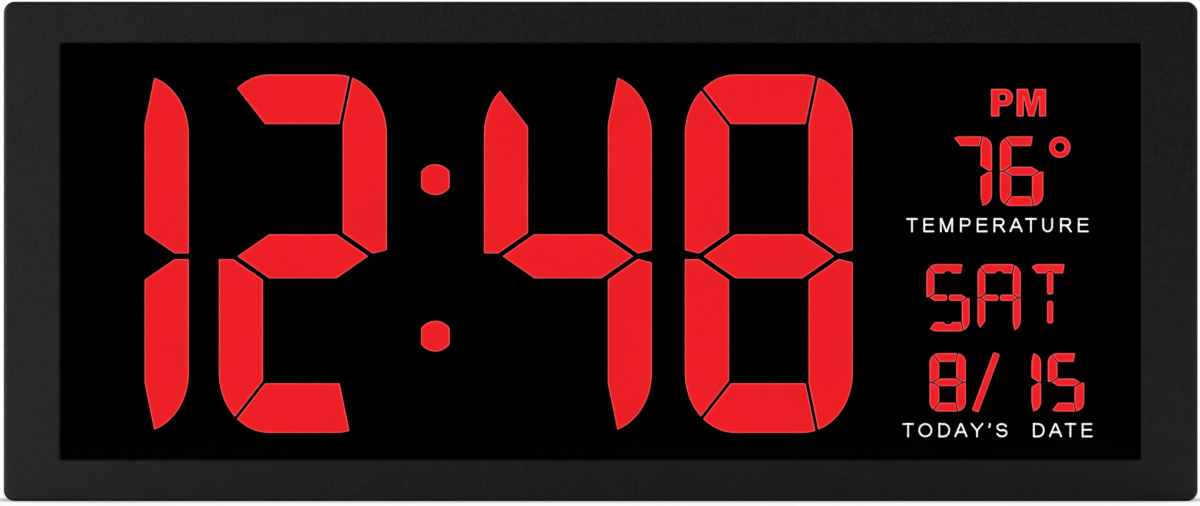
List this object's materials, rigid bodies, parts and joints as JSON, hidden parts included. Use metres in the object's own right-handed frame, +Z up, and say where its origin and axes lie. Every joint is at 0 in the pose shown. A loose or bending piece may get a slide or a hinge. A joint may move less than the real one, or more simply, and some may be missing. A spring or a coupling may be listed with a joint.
{
  "type": "digital day clock",
  "caption": "Wide black LED day clock with large red time digits beside temperature, weekday and date, fold-out rear legs, wall keyholes, buttons and dimmer.",
  "frame": {"origin": "centre of the underside", "axes": "+X to the right as the display is read, +Y towards the back, +Z up"},
  "size_m": [0.368, 0.032, 0.154],
  "materials": {
    "black_abs": "fine spark texture, satin",
    "smoked_acrylic": "polished, smoked",
    "foam_tape": "matt",
    "mask_film": "matt black print",
    "reflector_plastic": "matt",
    "lit_diffuser": "glowing red",
    "unlit_diffuser": "smoked, unlit",
    "circuit_board": "solder mask",
    "led_package": "clear over phosphor white cup",
    "chip_package": "moulded epoxy",
    "resistor_ceramic": "printed top",
    "connector_nylon": "moulded",
    "ribbon_pvc": "ribbed",
    "screw_steel": "black zinc",
    "pin_steel": "bright",
    "crystal_can": "bright",
    "capacitor_sleeve": "sleeved",
    "thermistor_epoxy": "dipped",
    "switch_plastic": "moulded",
    "button_abs": "satin",
    "cell_steel": "bright",
    "contact_nickel": "nickel",
    "pad_rubber": "matt",
    "inlet_plastic": "moulded",
    "inlet_contact": "nickel plated"
  },
  "bodies": {
    "housing": {"front_bezel": "black_abs", "rear_cover": "black_abs", "window_pane": "smoked_acrylic", "window_tape": "foam_tape", "segment_mask": "mask_film", "reflector": "reflector_plastic", "hour_segments": "lit_diffuser", "minute_segments": "lit_diffuser", "colon_dots": "lit_diffuser", "afternoon_sign": "lit_diffuser", "temperature_segments": "lit_diffuser", "weekday_segments": "lit_diffuser", "date_segments": "lit_diffuser", "unlit_segments": "unlit_diffuser", "display_board": "circuit_board", "segment_leds": "led_package", "driver_chips": "chip_package", "segment_resistors": "resistor_ceramic", "display_screws": "screw_steel", "display_header": "connector_nylon", "control_header": "connector_nylon", "ribbon_cable": "ribbon_pvc", "control_board": "circuit_board", "control_screws": "screw_steel", "microcontroller": "chip_package", "quartz_crystal": "crystal_can", "capacitors": "capacitor_sleeve", "voltage_regulator": "chip_package", "thermistor": "thermistor_epoxy", "switch_bodies": "switch_plastic", "dimmer_switch_body": "switch_plastic", "cell_holder": "switch_plastic", "coin_cell": "cell_steel", "cell_contacts": "contact_nickel", "inlet_body": "inlet_plastic", "inlet_pin": "inlet_contact", "hinge_pins": "pin_steel", "cover_screws": "screw_steel"},
    "left_leg": {"left_leg": "black_abs", "left_leg_pad": "pad_rubber"},
    "right_leg": {"right_leg": "black_abs", "right_leg_pad": "pad_rubber"},
    "battery_cap": {"battery_cap": "button_abs"},
    "dimmer": {"dimmer_slider": "button_abs"},
    "set_key": {"set_button": "button_abs", "set_switch_stem": "switch_plastic"},
    "plus_key": {"plus_button": "button_abs", "plus_switch_stem": "switch_plastic"},
    "minus_key": {"minus_button": "button_abs", "minus_switch_stem": "switch_plastic"},
    "unit_key": {"unit_button": "button_abs", "unit_switch_stem": "switch_plastic"}
  },
  "joints": [
    {"name": "left_leg_hinge", "type": "hinge", "parent": "housing", "child": "left_leg", "pos_m": [-0.12, 0.012, 0.014], "axis": [-1, 0, 0], "range_deg": [0, 100.5]},
    {"name": "right_leg_hinge", "type": "hinge", "parent": "housing", "child": "right_leg", "pos_m": [0.12, 0.012, 0.014], "axis": [-1, 0, 0], "range_deg": [0, 100.5]},
    {"name": "set_press", "type": "slide", "parent": "housing", "child": "set_key", "axis": [0, -1, 0], "range_m": [0, 0.0006], "stiffness_N_per_m": 2000},
    {"name": "plus_press", "type": "slide", "parent": "housing", "child": "plus_key", "axis": [0, -1, 0], "range_m": [0, 0.0006], "stiffness_N_per_m": 2000},
    {"name": "minus_press", "type": "slide", "parent": "housing", "child": "minus_key", "axis": [0, -1, 0], "range_m": [0, 0.0006], "stiffness_N_per_m": 2000},
    {"name": "unit_press", "type": "slide", "parent": "housing", "child": "unit_key", "axis": [0, -1, 0], "range_m": [0, 0.0006], "stiffness_N_per_m": 2000},
    {"name": "dimmer_slide", "type": "slide", "parent": "housing", "child": "dimmer", "axis": [1, 0, 0], "range_m": [-0.002, 0.002]},
    {"name": "battery_cap_turn", "type": "hinge", "parent": "housing", "child": "battery_cap", "pos_m": [0.03, 0.016, 0.058], "axis": [0, 1, 0], "range_deg": [0, 45]}
  ]
}
